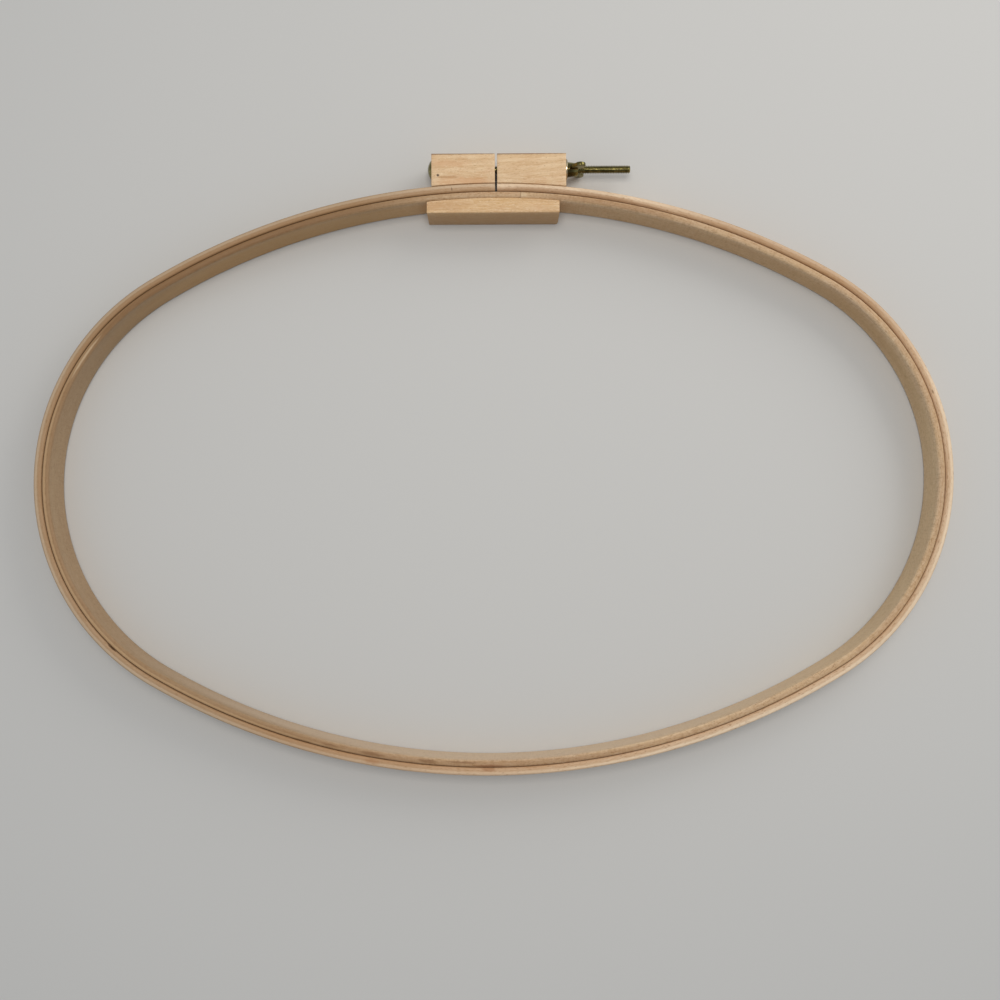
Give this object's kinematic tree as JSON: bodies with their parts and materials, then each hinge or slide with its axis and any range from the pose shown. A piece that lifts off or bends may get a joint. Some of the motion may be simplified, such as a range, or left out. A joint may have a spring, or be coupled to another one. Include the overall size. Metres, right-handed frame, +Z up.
{
  "type": "oval quilting hoop",
  "caption": "Oval wooden quilting hoop: an inner hoop inside a split outer hoop, closed by a bolt and wing nut through two clamp blocks.",
  "frame": {"origin": "middle of the footprint of the hoop lying flat, on the table", "axes": "+X along the oval, towards the wing nut; +Y from the middle to the clamp; +Z up through the hoop's depth"},
  "size_m": [0.6889, 0.4676, 0.0286],
  "materials": {
    "strip_wood": "sanded pale hardwood, worn smooth",
    "block_wood": "sanded hardwood block",
    "hardware": "yellow zinc plating, dulled"
  },
  "bodies": {
    "outer_hoop_left": {"outer_strip_left": "strip_wood", "left_clamp_block": "block_wood", "carriage_bolt": "hardware"},
    "outer_hoop_right": {"outer_strip_right": "strip_wood", "right_clamp_block": "block_wood"},
    "washer_slider": {"washer": "hardware"},
    "nut": {"wing_nut": "hardware"},
    "inner_hoop": {"inner_strip": "strip_wood", "inner_block": "block_wood"}
  },
  "joints": [
    {"name": "nut_travel", "type": "slide", "parent": "outer_hoop_left", "child": "washer_slider", "axis": [1, -0.0099, 0], "range_m": [0, 0.0045]},
    {"name": "nut_spin", "type": "hinge", "parent": "washer_slider", "child": "nut", "pos_m": [0.05999, 0.22511, 0.0143], "axis": [1, -0.0099, 0], "range_deg": [0, 1260]},
    {"name": "clamp_open", "type": "hinge", "parent": "outer_hoop_left", "child": "outer_hoop_right", "pos_m": [0, -0.23383, 0.0143], "axis": [0, 0, -1], "range_deg": [0, 0.56]},
    {"name": "inner_lift", "type": "slide", "parent": "outer_hoop_left", "child": "inner_hoop", "axis": [0, 0, 1], "range_m": [0, 0.04]}
  ],
  "couplings": [
    {"joint": "nut_travel", "follows": "nut_spin", "m_per_rad": 0.00020213},
    {"joint": "clamp_open", "follows": "nut_spin", "ratio": 0.00043111}
  ]
}
